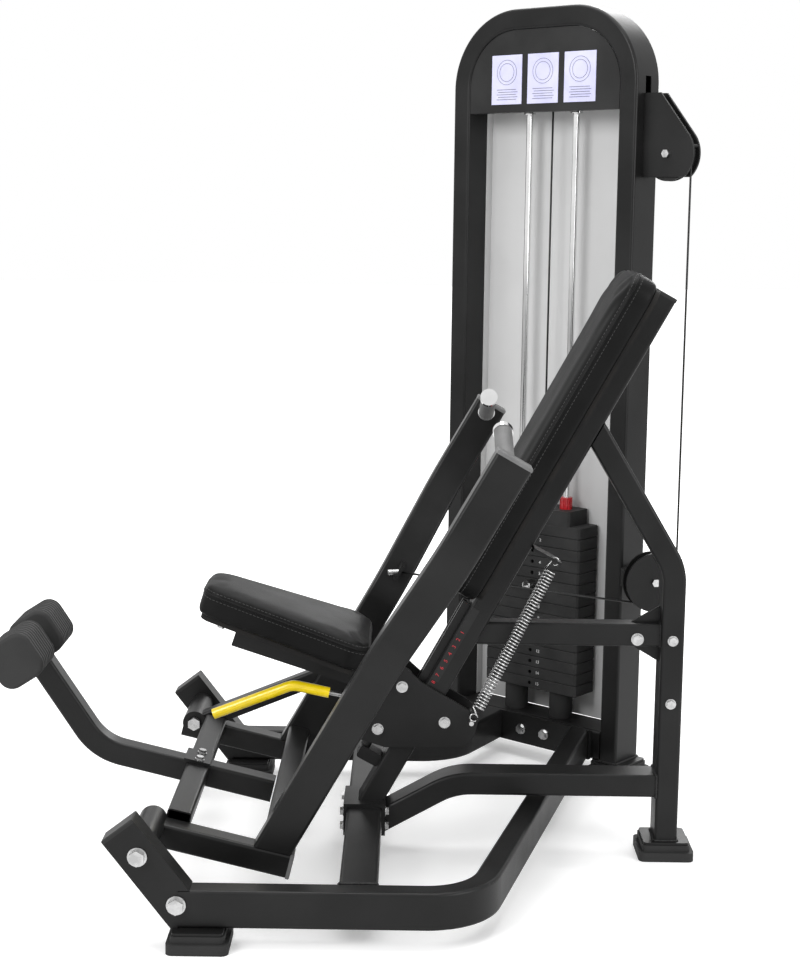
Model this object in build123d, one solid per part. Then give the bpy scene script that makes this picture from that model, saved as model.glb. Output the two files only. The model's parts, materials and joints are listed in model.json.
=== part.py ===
"""Selectorised chest press machine, millimetres, +Z up.

X runs from the user's feet to the weight tower side, Y runs away from the near rail, Z is height.
Every piece is built in one construction frame, then moved so that the origin is the bottom centre.
"""
import os
from math import acos, asin, atan2, cos, degrees, hypot, radians, sin

from build123d import *

# ---- driving dimensions -------------------------------------------------------------------------
TUBE_WALL = 3.0
TUBE_THIN = 50.0
TUBE_WIDE = 75.0
TUBE_CORNER = 7.0
RUN_GAP = 0.4
PLATE = 8.0

RAIL_BOTTOM = 40.0
RAIL_TOP = RAIL_BOTTOM + TUBE_WIDE
RAIL_Y = 520.0
RAIL_FRONT_X = -430.0
RAIL_BEND = 130.0
NEAR_BEND_X = 141.0
FAR_BEND_X = 110.0
FLANGE_THICK = 10.0
FOOT_SIZE = 120.0

PIVOT_X = -506.0
PIVOT_Z = 182.0
PIVOT_PIN_R = 9.0
PIVOT_FIT = 0.06
HUB_R = 28.0
BRACKET_LEAN = 52.5
BRACKET_BOLT_STEP = 120.0
BRACKET_LENGTH = 215.0

ARM_Y = 358.0
ARM_TOP_Y = 480.0
ARM_FOOT_X = -270.0
ARM_FOOT_Z = 122.0
ARM_LEAN = 60.4
ARM_LENGTH = 940.0
ARM_BEND_START = 470.0
ARM_BEND_END = 720.0
ARM_BEND_R = 220.0
SIDE_SLOPE = 13.5
SIDE_LENGTH = 282.0
CROSS_FRONT_X = -458.0
CROSS_REAR_X = -262.0
CROSS_REAR_Z = 138.0
GRIP_R = 18.0
HANDLE_R = 13.0
HANDLE_LENGTH = 150.0
HANDLE_RISE = 22.0

LEVER_TOP = (-831.0, 470.0)
LEVER_CORNER = (-672.0, 226.0)
LEVER_BEND = 130.0
FOOT_PAD_SIZE = 104.0
FOOT_PAD_LENGTH = 130.0
FOOT_PAD_GAP = 40.0
FOOT_PAD_CENTRE = (-819.0, 459.0)

CROSS_MID_X = -88.0
CROSS_MID_DEPTH = 50.0
MAIN_FOOT_X = -72.0
MAIN_FOOT_Z = 126.0
MAIN_LEAN = 61.3
MAIN_LENGTH = 1255.0
RACK_THICK = 18.0
RACK_WIDTH = 40.0
RACK_START = 126.0
RACK_END = 480.0
GROOVE_WIDTH = 14.0
GROOVE_DEPTH = 9.0

UPRIGHT_X = 573.0
UPRIGHT_BEND_Z = 645.0
UPRIGHT_BEND_R = 110.0
BRACE_TOP_ALONG = 945.0
LOWER_TUBE_Z = 163.0
LOWER_BEND_X = 105.0
TIE_Z = 498.0

ROLLER_R = 25.0
ROLLER_WIDTH = 56.0
AXLE_R = 6.0
CHEEK_IN = 40.0
FRONT_ROLLERS = (148.0, 256.0)
REAR_ROLLER = 232.0
LATCH_ALONG = 202.0
LATCH_R = 5.0
LEVER_PIVOT = (189.0, 140.0)
SPRING_PIN = (262.0, -100.0)
SPRING_PIN_R = 5.0
SPRING_Y = -57.0
SPRING_TAB_ALONG = 660.0
YELLOW_ROD_R = 5.0
YELLOW_GRIP_R = 11.5

SEAT_FRONT = (-430.0, 618.0)
SEAT_TILT = 18.0
SEAT_LENGTH = 380.0
SEAT_THICK = 72.0
SEAT_HALF_FRONT = 92.0
SEAT_HALF_REAR = 155.0
BOARD = 10.0
BACK_START = 502.0
BACK_LENGTH = 770.0
BACK_WIDTH = 300.0
BACK_THICK = 68.0

TOWER_X = 313.0
TOWER_Y = 669.0
TOWER_TURN = 40.0
TOWER_WIDTH = 550.0
TOWER_DEPTH = 100.0
TOWER_TOP = 1895.0
TOWER_CORNER = 190.0
TOWER_SPLIT = 1600.0
SIGN_BOTTOM = 1645.0
SIGN_THICK = 4.0
CARD_WIDTH = 92.0
CARD_HEIGHT = 120.0
CARD_STEP = 110.0
SHROUD_THICK = 2.0
ROD_R = 8.0
ROD_SPACING = 141.0
ROD_FIT = 0.5
PLATE_COUNT = 15
LIFTED_COUNT = 6
PLATE_PITCH = 29.0
PLATE_GAP = 0.5
PLATE_CHAMFER = 1.6
STACK_BOTTOM = 185.0
STACK_WIDTH = 285.0
STACK_DEPTH = 86.0
SELECTOR_R = 10.0
PIN_HOLE_R = 5.0
PIN_FIT = 0.3
CARRIER_HEIGHT = 38.0
CARRIER_WIDTH = 220.0

CABLE_R = 2.5
PULLEY_CABLE_R = 58.0
PULLEY_R = 64.0
PULLEY_WIDTH = 18.0
CHEEK_THICK = 6.0
WING_TOP = 142.0
WING_CORNER_U = -21.0
WING_DROP = 54.0
OUT_PULLEY_REACH = 66.0
OUT_PULLEY_U = TOWER_WIDTH / 2 + OUT_PULLEY_REACH
OUT_PULLEY_Z = 1540.0
IN_PULLEY_Z = 1752.0
LOW_PULLEY_Z = 520.0
CABLE_TAB_ALONG = 505.0

# ---- frames of reference ------------------------------------------------------------------------


def leaning_plane(x, z, lean):
    """Local x runs up the lean, local y is world Y, local z points to the front of it."""
    a = radians(lean)
    return Plane(origin=(x, 0, z), x_dir=(cos(a), 0, sin(a)), z_dir=(-sin(a), 0, cos(a)))


MAIN = leaning_plane(MAIN_FOOT_X, MAIN_FOOT_Z, MAIN_LEAN)
ARM = leaning_plane(ARM_FOOT_X, ARM_FOOT_Z, ARM_LEAN)
SEAT = leaning_plane(SEAT_FRONT[0], SEAT_FRONT[1], -SEAT_TILT)
BRACKET = leaning_plane(PIVOT_X, PIVOT_Z, 180 - BRACKET_LEAN)
SIDE = leaning_plane(PIVOT_X, PIVOT_Z - HUB_R / 2, -SIDE_SLOPE)
TURN = radians(TOWER_TURN)
TOWER = Plane(origin=(TOWER_X, TOWER_Y, 0), x_dir=(cos(TURN), -sin(TURN), 0), z_dir=(0, 0, 1))
NEAR_AND_FAR = (-1, 1)
nodes = {}


def at(frame, x, y, z):
    """A point given in a local frame, in construction coordinates."""
    return frame.from_local_coords(Vector(x, y, z))


def block(x0, x1, y0, y1, z0, z1):
    """A box from its limits."""
    centre = Pos((x0 + x1) / 2, (y0 + y1) / 2, (z0 + z1) / 2)
    return centre * Box(x1 - x0, y1 - y0, z1 - z0)


def rod(start, end, radius):
    """A round bar between two points."""
    start = Vector(start)
    end = Vector(end)
    run = end - start
    return Plane(origin=start, z_dir=run) * extrude(Circle(radius), run.length)


def tube(points, radii, across, deep, normal, wall=TUBE_WALL):
    """A hollow rectangular tube along straight runs and bends; across lies along normal."""
    if radii:
        path = FilletPolyline(*points, radius=radii)
    else:
        path = Line(*points)
    start = Plane(origin=path @ 0, x_dir=normal, z_dir=path % 0)
    outer = RectangleRounded(across, deep, TUBE_CORNER)
    inner = RectangleRounded(across - 2 * wall, deep - 2 * wall, TUBE_CORNER - wall)
    return sweep(start * (outer - inner), path=path)


def bolt(point, direction, grip, radius=5.0):
    """Hex head and washer standing on point, shank running grip deep against direction, nut behind."""
    seat = Plane(origin=point, z_dir=direction)
    washer = extrude(Circle(radius * 2.1), radius * 0.35)
    head = Pos(0, 0, radius * 0.35) * extrude(RegularPolygon(radius * 1.75, 6), radius * 1.2)
    shank = extrude(Circle(radius), -grip)
    nut = Pos(0, 0, -grip) * extrude(RegularPolygon(radius * 1.75, 6), -radius * 1.4)
    return seat * (washer + head + shank + nut)


def hex_head(point, direction, radius=5.0):
    """A button of washer and hex head only, for bolts that end in a blind thread."""
    seat = Plane(origin=point, z_dir=direction)
    washer = extrude(Circle(radius * 2.1), radius * 0.35)
    head = Pos(0, 0, radius * 0.35) * extrude(RegularPolygon(radius * 1.75, 6), radius * 1.2)
    return seat * (washer + head)


def group(shapes):
    """Separate solids kept in one node."""
    return Compound(children=list(shapes))


def cap(frame, x, y, across, deep):
    """A plastic end cap with a rounded rim on a tube that ends at local x."""
    rim = Pos(x + 4, y, 0) * Box(8, across, deep)
    return frame.location * fillet(rim.edges().group_by(Axis.X)[-1], 3)


# ---- base ---------------------------------------------------------------------------------------
rail_z = (RAIL_BOTTOM + RAIL_TOP) / 2
flange_near_u = 150.0
flange_far_u = -105.0
rail_reach = -FLANGE_THICK


def make_rail(side, bend_x, end_u):
    end = at(TOWER, end_u, 30, rail_z)
    points = [(RAIL_FRONT_X, side * RAIL_Y, rail_z), (bend_x, side * RAIL_Y, rail_z), (end.X, end.Y, rail_z)]
    rail = tube(points, [RAIL_BEND], TUBE_WIDE, TUBE_THIN, (0, 0, 1))
    behind = TOWER.location * block(-600, 600, rail_reach, 400, 0, 300)
    return rail - behind


nodes["base_rail_near"] = make_rail(-1, NEAR_BEND_X, flange_near_u)
nodes["base_rail_far"] = make_rail(1, FAR_BEND_X, flange_far_u)
nodes["base_flange"] = TOWER.location * block(
    flange_far_u - 62, flange_near_u + 50, rail_reach, 0, RAIL_BOTTOM, RAIL_TOP
)
nodes["flange_bolts"] = group(
    TOWER.location * hex_head((u, rail_reach, rail_z), (0, -1, 0), 6.5) for u in (-10, 62)
)
rail_inside = RAIL_Y - TUBE_THIN / 2
nodes["base_cross_tube"] = tube(
    [(CROSS_MID_X, -rail_inside, RAIL_TOP - CROSS_MID_DEPTH / 2),
     (CROSS_MID_X, rail_inside, RAIL_TOP - CROSS_MID_DEPTH / 2)],
    [], TUBE_WIDE, CROSS_MID_DEPTH, (1, 0, 0),
)


def make_bracket(side):
    """Leaning pivot bracket, a short tube with a weld foot on the end of the rail."""
    low = BRACKET_BOLT_STEP + 38
    high = BRACKET_LENGTH - low
    body = BRACKET.location * (Pos((high - low) / 2, side * RAIL_Y, 0) * Box(high + low, TUBE_THIN, TUBE_WIDE))
    body -= block(-900, 0, -900, 900, -200, RAIL_BOTTOM)
    body -= block(RAIL_FRONT_X, 0, -900, 900, RAIL_BOTTOM, RAIL_TOP)
    bore_r = PIVOT_PIN_R + PIVOT_FIT
    body -= rod((PIVOT_X, side * (RAIL_Y - 60), PIVOT_Z), (PIVOT_X, side * (RAIL_Y + 60), PIVOT_Z), bore_r)
    return body


bracket_low = at(BRACKET, -BRACKET_BOLT_STEP, 0, 0)
bracket_top = BRACKET_LENGTH - BRACKET_BOLT_STEP - 38
for side, name in zip(NEAR_AND_FAR, ("near", "far")):
    nodes[f"pivot_bracket_{name}"] = make_bracket(side)
nodes["bracket_caps"] = group(cap(BRACKET, bracket_top, s * RAIL_Y, TUBE_THIN, TUBE_WIDE) for s in NEAR_AND_FAR)
nodes["bracket_bolts"] = group(
    hex_head((bracket_low.X, s * (RAIL_Y + TUBE_THIN / 2), bracket_low.Z), (0, s, 0), 9) for s in NEAR_AND_FAR
)


def make_foot(x, y, frame_turn=0.0):
    """Stepped rubber foot: broad sole, narrower top that the steel sits on."""
    sole = extrude(RectangleRounded(FOOT_SIZE, FOOT_SIZE, 14), 20)
    top = Pos(0, 0, 20) * extrude(RectangleRounded(FOOT_SIZE - 16, FOOT_SIZE - 16, 10), RAIL_BOTTOM - 20 - 6)
    return Pos(x, y, 0) * Rot(0, 0, frame_turn) * (sole + top)


def make_foot_plate(x, y, frame_turn=0.0):
    """Steel plate between the rubber foot and the tube above."""
    plate = Pos(0, 0, RAIL_BOTTOM - 6) * extrude(RectangleRounded(FOOT_SIZE - 22, FOOT_SIZE - 22, 8), 6)
    return Pos(x, y, 0) * Rot(0, 0, frame_turn) * plate


front_foot_x = bracket_low.X + 42
leg_u = (TOWER_WIDTH - TUBE_THIN) / 2
tower_feet = [at(TOWER, s * leg_u, TOWER_DEPTH / 2, 0) for s in NEAR_AND_FAR]
nodes["front_feet"] = group(make_foot(front_foot_x, s * RAIL_Y) for s in NEAR_AND_FAR)
nodes["front_foot_plates"] = group(make_foot_plate(front_foot_x, s * RAIL_Y) for s in NEAR_AND_FAR)
nodes["rear_foot"] = make_foot(UPRIGHT_X, 0)
nodes["rear_foot_plate"] = make_foot_plate(UPRIGHT_X, 0)
nodes["tower_feet"] = group(make_foot(p.X, p.Y, -TOWER_TURN) for p in tower_feet)
nodes["tower_foot_plates"] = group(make_foot_plate(p.X, p.Y, -TOWER_TURN) for p in tower_feet)

# ---- main tube, saddle and rear frame ------------------------------------------------------------
main_half = TUBE_THIN / 2
main_bottom_cut = block(-400, 400, -100, 100, -100, RAIL_TOP + PLATE)
main_tube = tube([at(MAIN, -60, 0, 0), at(MAIN, MAIN_LENGTH, 0, 0)], [], TUBE_WIDE, TUBE_THIN, (0, 1, 0))
nodes["main_tube"] = main_tube - main_bottom_cut
nodes["main_tube_cap"] = cap(MAIN, MAIN_LENGTH, 0, TUBE_WIDE, TUBE_THIN)
saddle_in = TUBE_WIDE / 2
saddle_out = saddle_in + PLATE
saddle_y = TUBE_WIDE / 2 + 24
saddle = block(-saddle_out, saddle_out, -saddle_y, saddle_y, RAIL_BOTTOM + 12, RAIL_TOP + PLATE)
saddle -= block(-saddle_in, saddle_in, -saddle_y, saddle_y, 0, RAIL_TOP)
nodes["saddle"] = Pos(CROSS_MID_X, 0, 0) * saddle
nodes["saddle_bolts"] = group(
    hex_head((CROSS_MID_X + side * saddle_out, y, z), (side, 0, 0), 5) for side in NEAR_AND_FAR
    for y in (-saddle_y + 12, saddle_y - 12) for z in (RAIL_TOP - 12, RAIL_TOP - 44)
)
upright_half = TUBE_THIN / 2
brace_start = at(MAIN, BRACE_TOP_ALONG, 0, -10)
rear_path = [brace_start, (UPRIGHT_X, 0, UPRIGHT_BEND_Z), (UPRIGHT_X, 0, RAIL_BOTTOM)]
main_solid = MAIN.location * block(0, MAIN_LENGTH, -saddle_y, saddle_y, -main_half, main_half)
nodes["rear_upright"] = tube(rear_path, [UPRIGHT_BEND_R], TUBE_WIDE, TUBE_THIN, (0, 1, 0)) - main_solid
upright_front = UPRIGHT_X - upright_half
lower_path = [
    (CROSS_MID_X + saddle_out - 20, 0, RAIL_TOP - 46),
    (LOWER_BEND_X, 0, LOWER_TUBE_Z),
    (upright_front, 0, LOWER_TUBE_Z),
]
lower_tube = tube(lower_path, [160], TUBE_WIDE, TUBE_THIN, (0, 1, 0))
nodes["lower_rear_tube"] = lower_tube - block(-400, CROSS_MID_X + saddle_out, -100, 100, 0, 300)
tie_start = at(MAIN, (TIE_Z - MAIN_FOOT_Z) / sin(radians(MAIN_LEAN)), 0, 0)
tie_ends = [(tie_start.X, 0, TIE_Z), (upright_front, 0, TIE_Z)]
nodes["tie_tube"] = tube(tie_ends, [], TUBE_THIN, TUBE_THIN, (0, 1, 0)) - main_solid
gusset = Polygon((0, 62), (-62, TUBE_THIN / 2), (0, TUBE_THIN / 2), align=None)
nodes["gussets"] = group(
    Plane(origin=(upright_front, PLATE / 2, TIE_Z), x_dir=(1, 0, 0), z_dir=(0, -1, 0))
    * extrude(mirror(gusset, Plane.XZ) if flip else gusset, PLATE) for flip in (False, True)
)
nodes["upright_bolts"] = group(
    [hex_head((UPRIGHT_X, -TUBE_WIDE / 2, z), (0, -1, 0), 5.5) for z in (TIE_Z - 8, TIE_Z - 148)]
    + [hex_head((upright_front - 50, -TUBE_THIN / 2, TIE_Z - 8), (0, -1, 0), 6.5)]
)

# ---- weight tower -------------------------------------------------------------------------------
leg_in = TOWER_WIDTH / 2 - TUBE_THIN
leg_out = TOWER_WIDTH / 2
mid_depth = TOWER_DEPTH / 2
slope = degrees(atan2(IN_PULLEY_Z - OUT_PULLEY_Z, OUT_PULLEY_U - PULLEY_CABLE_R))
slot_z = (IN_PULLEY_Z * (OUT_PULLEY_U - leg_u) + OUT_PULLEY_Z * (leg_u - PULLEY_CABLE_R)) / (
    OUT_PULLEY_U - PULLEY_CABLE_R) + PULLEY_CABLE_R / cos(radians(slope))
cable_slot = block(leg_in - 20, leg_out + 20, mid_depth - 12, mid_depth + 12, slot_z - 42, slot_z + 42)
for side, name in zip(NEAR_AND_FAR, ("left", "right")):
    leg = tube([(side * leg_u, mid_depth, RAIL_BOTTOM), (side * leg_u, mid_depth, TOWER_SPLIT - 30)], [],
               TUBE_THIN, TOWER_DEPTH, (1, 0, 0))
    nodes[f"tower_leg_{name}"] = TOWER.location * leg
arch_path = [
    (-leg_u, mid_depth, TOWER_SPLIT - 30), (-leg_u, mid_depth, TOWER_TOP - upright_half),
    (leg_u, mid_depth, TOWER_TOP - upright_half), (leg_u, mid_depth, TOWER_SPLIT - 30),
]
arch_r = TOWER_CORNER - TUBE_THIN / 2
arch = tube(arch_path, [arch_r, arch_r], TOWER_DEPTH, TUBE_THIN, (0, 1, 0))
nodes["tower_arch"] = TOWER.location * (arch - cable_slot)
nodes["tower_base_beam"] = TOWER.location * tube(
    [(-leg_in, mid_depth, rail_z), (leg_in, mid_depth, rail_z)], [], TOWER_DEPTH, TUBE_WIDE, (0, 1, 0)
)


def sign_outline(inset, bottom):
    """The opening inside the arch above a height, as a face in the local X-Z plane."""
    half = leg_in - inset
    top = TOWER_TOP - TUBE_THIN - inset
    centre = (top + bottom) / 2
    face = Rectangle(2 * half, top - bottom)
    corners = face.vertices().group_by(Axis.Y)[-1]
    rounded = fillet(corners, TOWER_CORNER - TUBE_THIN - inset)
    return Plane(origin=(0, 0, centre), x_dir=(1, 0, 0), z_dir=(0, -1, 0)) * rounded


sign_depth = 8.0
sign = extrude(sign_outline(RUN_GAP, SIGN_BOTTOM), SIGN_THICK, dir=(0, -1, 0))
lip = block(-leg_in + RUN_GAP, leg_in - RUN_GAP, 0, 22, SIGN_BOTTOM, SIGN_BOTTOM + SIGN_THICK)
nodes["sign_panel"] = TOWER.location * (Pos(0, sign_depth, 0) * sign + Pos(0, sign_depth - SIGN_THICK, 0) * lip)
card_front = sign_depth - SIGN_THICK
card_z = SIGN_BOTTOM + 20
nodes["sign_cards"] = group(
    TOWER.location * block(u - CARD_WIDTH / 2, u + CARD_WIDTH / 2, card_front - 1.5, card_front,
                           card_z, card_z + CARD_HEIGHT) for u in (-CARD_STEP, 0, CARD_STEP)
)
shroud_back = TOWER_DEPTH
shroud = block(-leg_in, leg_in, shroud_back - SHROUD_THICK, shroud_back, RAIL_TOP, SIGN_BOTTOM + 40)
for side in NEAR_AND_FAR:
    edge = side * (leg_in - SHROUD_THICK / 2)
    shroud += block(edge - 1, edge + 1, shroud_back - 24, shroud_back, RAIL_TOP, SIGN_BOTTOM + 40)
nodes["tower_shroud"] = TOWER.location * shroud
rod_half = ROD_SPACING / 2
guide_bar_low = SIGN_BOTTOM + 12
guide_bar_high = guide_bar_low + 22
guide_bar = block(-leg_in, leg_in, mid_depth - 22, mid_depth + 22, guide_bar_low, guide_bar_high)
guide_bar -= Pos(0, mid_depth, 0) * block(-9, 9, -9, 9, guide_bar_low, guide_bar_high)
for side in NEAR_AND_FAR:
    guide_bar -= Pos(side * rod_half, mid_depth, 0) * Cylinder(ROD_R, 4 * TOWER_TOP)
nodes["guide_bar"] = TOWER.location * guide_bar
nodes["guide_rods"] = group(
    TOWER.location * rod((s * rod_half, mid_depth, RAIL_TOP), (s * rod_half, mid_depth, guide_bar_high), ROD_R)
    for s in NEAR_AND_FAR
)
nodes["rod_collars"] = group(
    TOWER.location * (rod((s * rod_half, mid_depth, z), (s * rod_half, mid_depth, z + 16), 15)
                      - Pos(s * rod_half, mid_depth, 0) * Cylinder(ROD_R, 4 * TOWER_TOP))
    for s in NEAR_AND_FAR for z in (guide_bar_low - 16,)
)
bumper_r = 30.0
nodes["stack_bumpers"] = group(
    TOWER.location * (rod((s * rod_half, mid_depth, RAIL_TOP), (s * rod_half, mid_depth, STACK_BOTTOM), bumper_r)
                      - Pos(s * rod_half, mid_depth, 0) * Cylinder(ROD_R, 4 * TOWER_TOP))
    for s in NEAR_AND_FAR
)


def rod_holes(radius):
    """The three vertical bores through a plate: two guide rods and the selector rod."""
    bores = Pos(0, mid_depth, 0) * Cylinder(SELECTOR_R + ROD_FIT, 4 * TOWER_TOP)
    for s in NEAR_AND_FAR:
        bores += Pos(s * rod_half, mid_depth, 0) * Cylinder(radius, 4 * TOWER_TOP)
    return bores


def weight_plate(index):
    """One stack plate counted from the top, with its pin hole from the front face to the rod bore."""
    high = STACK_BOTTOM + PLATE_PITCH * (PLATE_COUNT - index) - PLATE_GAP / 2
    low = high - PLATE_PITCH + PLATE_GAP
    front = mid_depth - STACK_DEPTH / 2
    slab = block(-STACK_WIDTH / 2, STACK_WIDTH / 2, front, front + STACK_DEPTH, low, high)
    slab = chamfer(slab.edges().filter_by(Axis.Z), 5)
    faces = slab.faces().sort_by(Axis.Z)
    slab = chamfer(faces[0].edges() + faces[-1].edges(), PLATE_CHAMFER)
    slab -= rod_holes(ROD_R + ROD_FIT)
    middle = (low + high) / 2
    return slab - rod((0, front, middle), (0, mid_depth, middle), PIN_HOLE_R)


nodes["weight_plates_lifted"] = group(TOWER.location * weight_plate(i) for i in range(LIFTED_COUNT))
nodes["weight_plates_resting"] = group(
    TOWER.location * weight_plate(i) for i in range(LIFTED_COUNT, PLATE_COUNT)
)
stack_top = STACK_BOTTOM + PLATE_PITCH * PLATE_COUNT - PLATE_GAP / 2
carrier_top = stack_top + CARRIER_HEIGHT
carrier = block(-CARRIER_WIDTH / 2, CARRIER_WIDTH / 2, 8, TOWER_DEPTH - 8, stack_top, carrier_top)
carrier = chamfer(carrier.edges().filter_by(Axis.Z), 5)
for s in NEAR_AND_FAR:
    carrier -= Pos(s * rod_half, mid_depth, 0) * Cylinder(ROD_R + ROD_FIT, 4 * TOWER_TOP)
nodes["stack_carrier"] = TOWER.location * (carrier - Pos(0, mid_depth, 0) * Cylinder(SELECTOR_R, 4 * TOWER_TOP))
collar_top = carrier_top + 30
collar = Pos(0, 0, carrier_top) * extrude(Circle(16) - Circle(ROD_R + ROD_FIT), collar_top - carrier_top)
for k in range(10):
    collar -= Rot(0, 0, 36 * k) * Pos(17, 0, carrier_top + 20) * Cylinder(2.6, 40)
nodes["stack_collars"] = group(TOWER.location * (Pos(s * rod_half, mid_depth, 0) * collar) for s in NEAR_AND_FAR)
selector = rod((0, mid_depth, STACK_BOTTOM + 4), (0, mid_depth, carrier_top + 26), SELECTOR_R)
for i in range(PLATE_COUNT):
    pin_z = STACK_BOTTOM + PLATE_PITCH * (i + 0.5) - PLATE_GAP / 2
    through = 2 * SELECTOR_R
    selector -= rod((0, mid_depth - through, pin_z), (0, mid_depth + through, pin_z), PIN_HOLE_R)
nodes["selector_rod"] = TOWER.location * selector
pin_z = STACK_BOTTOM + PLATE_PITCH * (PLATE_COUNT - LIFTED_COUNT + 0.5) - PLATE_GAP / 2
pin_front = mid_depth - STACK_DEPTH / 2 - RUN_GAP
pin = rod((0, pin_front, pin_z), (0, mid_depth + SELECTOR_R - 4, pin_z), PIN_HOLE_R - PIN_FIT)
knob = rod((0, pin_front - 26, pin_z), (0, pin_front, pin_z), 12)
nodes["selector_pin"] = TOWER.location * (pin + fillet(knob.edges().filter_by(GeomType.CIRCLE), 3))

# ---- pulleys and cable --------------------------------------------------------------------------
tab_point = at(ARM, CABLE_TAB_ALONG, ARM_Y - TUBE_THIN / 2 - 22, 0)
drop_foot = at(TOWER, OUT_PULLEY_U + PULLEY_CABLE_R, mid_depth, LOW_PULLEY_Z)
run_dir = Vector(tab_point.X - drop_foot.X, tab_point.Y - drop_foot.Y, 0).normalized()
low_axis = Vector(run_dir.Y, -run_dir.X, 0)
LOW = Plane(origin=drop_foot + run_dir * PULLEY_CABLE_R, x_dir=run_dir, z_dir=low_axis)
OUT = Plane(origin=at(TOWER, OUT_PULLEY_U, mid_depth, OUT_PULLEY_Z), x_dir=TOWER.x_dir, z_dir=-TOWER.y_dir)
INNER = Plane(origin=at(TOWER, PULLEY_CABLE_R, mid_depth, IN_PULLEY_Z), x_dir=TOWER.x_dir, z_dir=-TOWER.y_dir)


def make_pulley(frame):
    """Grooved wheel on its bore; the cable seat is a running gap below the cable."""
    seat_r = PULLEY_CABLE_R - CABLE_R - RUN_GAP
    half = PULLEY_WIDTH / 2
    profile = make_face(Polyline(
        (AXLE_R + PIVOT_FIT, -half), (PULLEY_R, -half), (PULLEY_R, -half + 2), (seat_r + 1, -3), (seat_r, 0),
        (seat_r + 1, 3), (PULLEY_R, half - 2), (PULLEY_R, half), (AXLE_R + PIVOT_FIT, half), close=True,
    ))
    wheel = revolve(Plane.XZ * profile, Axis.Z)
    holes = [Rot(0, 0, 60 * k) * Pos(33, 0, 0) * Cylinder(9, PULLEY_WIDTH) for k in range(6)]
    for hole in holes:
        wheel -= hole
    return frame.location * wheel


def make_axle(frame, half_grip):
    """Bolt through the pulley bore with heads outside the cheeks."""
    axle = Cylinder(AXLE_R, 2 * half_grip)
    heads = [Pos(0, 0, half_grip) * extrude(RegularPolygon(10, 6), 7),
             Pos(0, 0, -half_grip) * extrude(RegularPolygon(10, 6), -7)]
    return frame.location * (axle + heads[0] + heads[1])


cheek_in = PULLEY_WIDTH / 2 + 2
cheek_out = cheek_in + CHEEK_THICK
for name, frame in (("outer", OUT), ("inner", INNER), ("lower", LOW)):
    nodes[f"pulley_{name}"] = make_pulley(frame)
inner_grip = mid_depth - sign_depth - 2 * CHEEK_THICK
nodes["pulley_axles"] = group(
    [make_axle(OUT, cheek_out), make_axle(INNER, inner_grip), make_axle(LOW, cheek_out)]
)
wing_in = leg_out - OUT_PULLEY_U
wing_round = PULLEY_R + 9
corner_turn = atan2(WING_TOP, WING_CORNER_U)
tangent_turn = corner_turn - acos(wing_round / hypot(WING_CORNER_U, WING_TOP))
wing_tangent = (wing_round * cos(tangent_turn), wing_round * sin(tangent_turn))
wing_sheet = Polygon(
    (wing_in, WING_TOP), (WING_CORNER_U, WING_TOP), wing_tangent,
    (0, 0), (0, -WING_DROP), (wing_in, -WING_DROP), align=None,
)
wing_zone = Rectangle(3 * PULLEY_R, 2 * PULLEY_R, align=(Align.MIN, Align.MIN))
wing_zone = Pos(wing_in, -WING_DROP) * wing_zone
wing_curve = Circle(wing_round) & wing_zone
wing = extrude(wing_sheet, CHEEK_THICK, dir=(0, 0, 1)) + extrude(wing_curve, CHEEK_THICK, dir=(0, 0, 1))
wing -= Cylinder(AXLE_R, 4 * CHEEK_THICK)
bearing = Circle(AXLE_R)
nodes["tower_wing"] = group(OUT.location * (Pos(0, 0, z) * wing) for z in (cheek_in, -cheek_out))
nodes["wing_guards"] = OUT.location * Pos(PULLEY_R + 2, 18, 0) * Cylinder(4, 2 * cheek_in)
hang_low = guide_bar_high
hanger = Rectangle(46, IN_PULLEY_Z - hang_low + 24, align=(Align.CENTER, Align.MIN))
hanger_face = Pos(0, hang_low - IN_PULLEY_Z) * hanger
nodes["inner_pulley_hangers"] = group(
    INNER.location * (Pos(0, 0, z) * extrude(hanger_face - bearing, CHEEK_THICK)) for z in (cheek_in, -cheek_out)
)
housing_face = Circle(PULLEY_R + 8) - bearing
nodes["lower_pulley_cheeks"] = group(
    LOW.location * (Pos(0, 0, z) * extrude(housing_face, CHEEK_THICK)) for z in (cheek_in, -cheek_out)
)
tower_side = TOWER.location * block(-900, leg_out, -300, 600, 0, 2000)
mount_arm = LOW.location * block(14, 60, -22, 22, cheek_out, 130)
nodes["lower_pulley_mount"] = mount_arm - tower_side

CABLE_SECTION = Circle(CABLE_R)


def wrap(frame, angle_from, angle_to):
    """Cable lying round a pulley between two angles measured in its own frame."""
    arc = CenterArc((0, 0), PULLEY_CABLE_R, angle_from, angle_to - angle_from)
    start = Plane(origin=arc @ 0, z_dir=arc % 0)
    return frame.location * sweep(start * CABLE_SECTION, path=arc)


top_angle = 90 - slope


def on_wrap(frame, angle):
    """The cable centre on a pulley at an angle in its own frame."""
    return at(frame, PULLEY_CABLE_R * cos(radians(angle)), PULLEY_CABLE_R * sin(radians(angle)), 0)


drop_top = on_wrap(OUT, 0)
drop_low = on_wrap(LOW, 180)
tab_local = LOW.to_local_coords(tab_point)
run_rise = degrees(
    atan2(tab_local.Y, tab_local.X) + asin(PULLEY_CABLE_R / hypot(tab_local.X, tab_local.Y))
)
run_start = on_wrap(LOW, 270 + run_rise)
cable_parts = [
    wrap(INNER, 180, top_angle), rod(on_wrap(INNER, top_angle), on_wrap(OUT, top_angle), CABLE_R),
    wrap(OUT, top_angle, 0), rod(drop_top, drop_low, CABLE_R),
    wrap(LOW, 180, 270 + run_rise),
]
nodes["cable_guided"] = group(cable_parts)
stack_cable_top = on_wrap(INNER, 180)
nodes["cable_stack"] = rod(at(TOWER, 0, mid_depth, carrier_top + 26), stack_cable_top, CABLE_R)
nodes["cable_drive"] = rod(run_start, tab_point, CABLE_R)

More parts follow.
